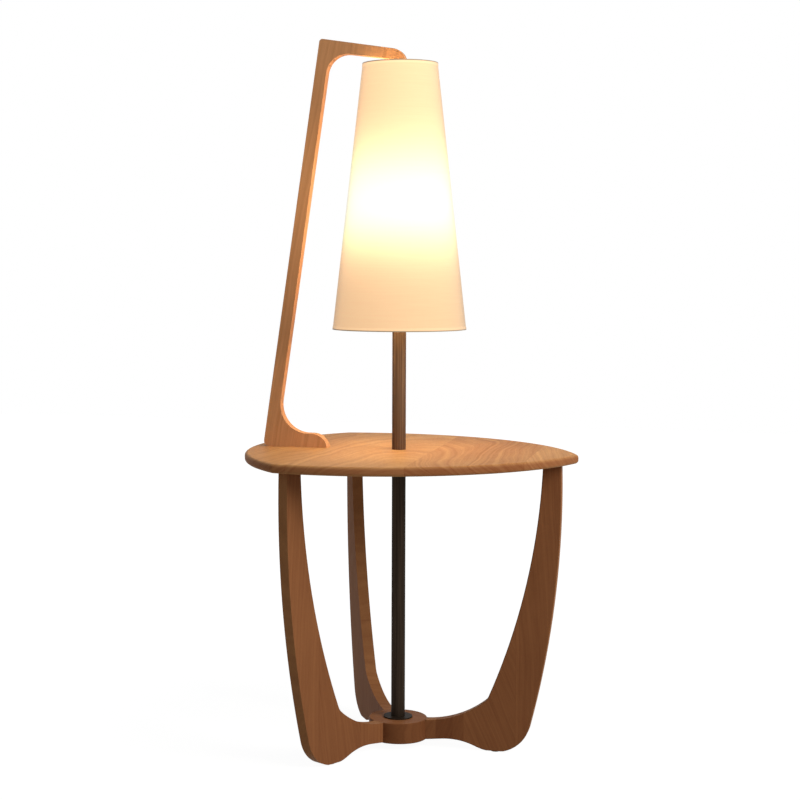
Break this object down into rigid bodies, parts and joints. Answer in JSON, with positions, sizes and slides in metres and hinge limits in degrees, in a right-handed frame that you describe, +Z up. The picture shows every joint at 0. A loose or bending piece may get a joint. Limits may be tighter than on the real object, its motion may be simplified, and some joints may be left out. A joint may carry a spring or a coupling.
{
  "type": "floor lamp with table",
  "caption": "Floor lamp with a three-sided wooden table, curved board legs, a wooden arm over a tall tapered fabric shade, and a bronze post.",
  "frame": {"origin": "on the floor, in the middle of the outline seen from above", "axes": "+Z up, +X along leg 1 from the post's axis, and the arm stands on the -X side"},
  "size_m": [0.5954, 0.5818, 1.2785],
  "materials": {
    "beech_top": "satin lacquer on warm beech",
    "beech_frame": "satin lacquer on warm beech",
    "dowel_beech": "raw beech",
    "felt": "pressed felt",
    "bronze_metal": "dark bronze lacquer, semi-gloss",
    "steel": "zinc plated",
    "brass": "plain brass",
    "black_plastic": "moulded phenolic",
    "ceramic": "unglazed",
    "opal_glass": "opal",
    "shade_cloth": "plain woven cloth",
    "shade_liner": "translucent styrene film",
    "hem_cloth": "folded cloth tape"
  },
  "bodies": {
    "lamp": {"tabletop": "beech_top", "leg_1": "beech_frame", "leg_2": "beech_frame", "leg_3": "beech_frame", "hub": "beech_frame", "arm": "beech_frame", "hub_dowels": "dowel_beech", "top_dowels": "dowel_beech", "foot_pads": "felt", "hub_washer": "bronze_metal", "lower_post": "bronze_metal", "upper_post": "bronze_metal", "shade_collar": "bronze_metal", "recess_washer": "steel", "hub_nut": "steel", "hub_nipple": "steel", "base_plug": "steel", "under_table_plug": "steel", "over_table_plug": "steel", "top_plug": "steel", "table_nipple": "steel", "table_washer": "steel", "top_nipple": "steel", "arm_screws": "steel", "shade_stud": "steel", "tip_insert": "brass", "shade_nut": "brass", "holder_shell": "brass", "holder_contact": "brass", "cord_bushing": "black_plastic", "holder_cap": "black_plastic", "holder_body": "black_plastic", "holder_insert": "ceramic"},
    "shade": {"shade_fabric": "shade_cloth", "shade_lining": "shade_liner", "shade_frame": "steel", "shade_bottom_ring": "steel", "shade_top_trim": "hem_cloth", "shade_bottom_trim": "hem_cloth"},
    "bulb": {"bulb_glass": "opal_glass", "bulb_cap": "steel", "bulb_insulator": "black_plastic", "bulb_contact": "steel"}
  },
  "joints": [
    {"name": "shade_turn", "type": "hinge", "parent": "lamp", "child": "shade", "pos_m": [-0.02465, 0, 1.229], "axis": [0, 0, 1], "continuous": true},
    {"name": "bulb_out", "type": "slide", "parent": "lamp", "child": "bulb", "axis": [0, 0, 1], "range_m": [0, 0.04]}
  ]
}
